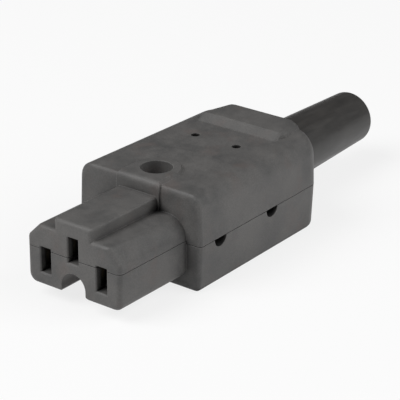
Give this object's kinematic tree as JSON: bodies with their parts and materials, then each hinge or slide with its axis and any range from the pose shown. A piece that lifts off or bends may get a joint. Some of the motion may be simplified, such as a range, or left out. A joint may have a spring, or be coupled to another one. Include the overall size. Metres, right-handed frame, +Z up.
{
  "type": "c15 power connector",
  "caption": "Rewirable appliance connector in dark moulded plastic: keyed mating nose with line, neutral and earth slots, screwed half shells and a rubber cable sleeve.",
  "frame": {"origin": "middle of the overall length and width, on the plane of the flat base", "axes": "-X out of the mating face, +X out of the cable end, +Y to the neutral slot, +Z up through the roof with the screw hole"},
  "size_m": [0.0974, 0.0308, 0.022],
  "materials": {
    "shell": "fine matt moulded texture",
    "sleeve": "smooth dull rubber",
    "brass": "bare stamped brass",
    "steel": "zinc plated"
  },
  "bodies": {
    "root": {"upper_shell": "shell", "lower_shell": "shell", "cable_sleeve": "sleeve", "assembly_screw": "steel", "assembly_nut": "steel", "line_contact": "brass", "neutral_contact": "brass", "earth_contact": "brass", "line_contact_spring": "steel", "neutral_contact_spring": "steel", "earth_contact_spring": "steel", "line_terminal": "brass", "neutral_terminal": "brass", "earth_terminal": "brass", "line_terminal_screw": "steel", "neutral_terminal_screw": "steel", "earth_terminal_screw": "steel", "cord_clamp": "shell", "cord_clamp_screw_left": "steel", "cord_clamp_screw_right": "steel"}
  },
  "joints": []
}
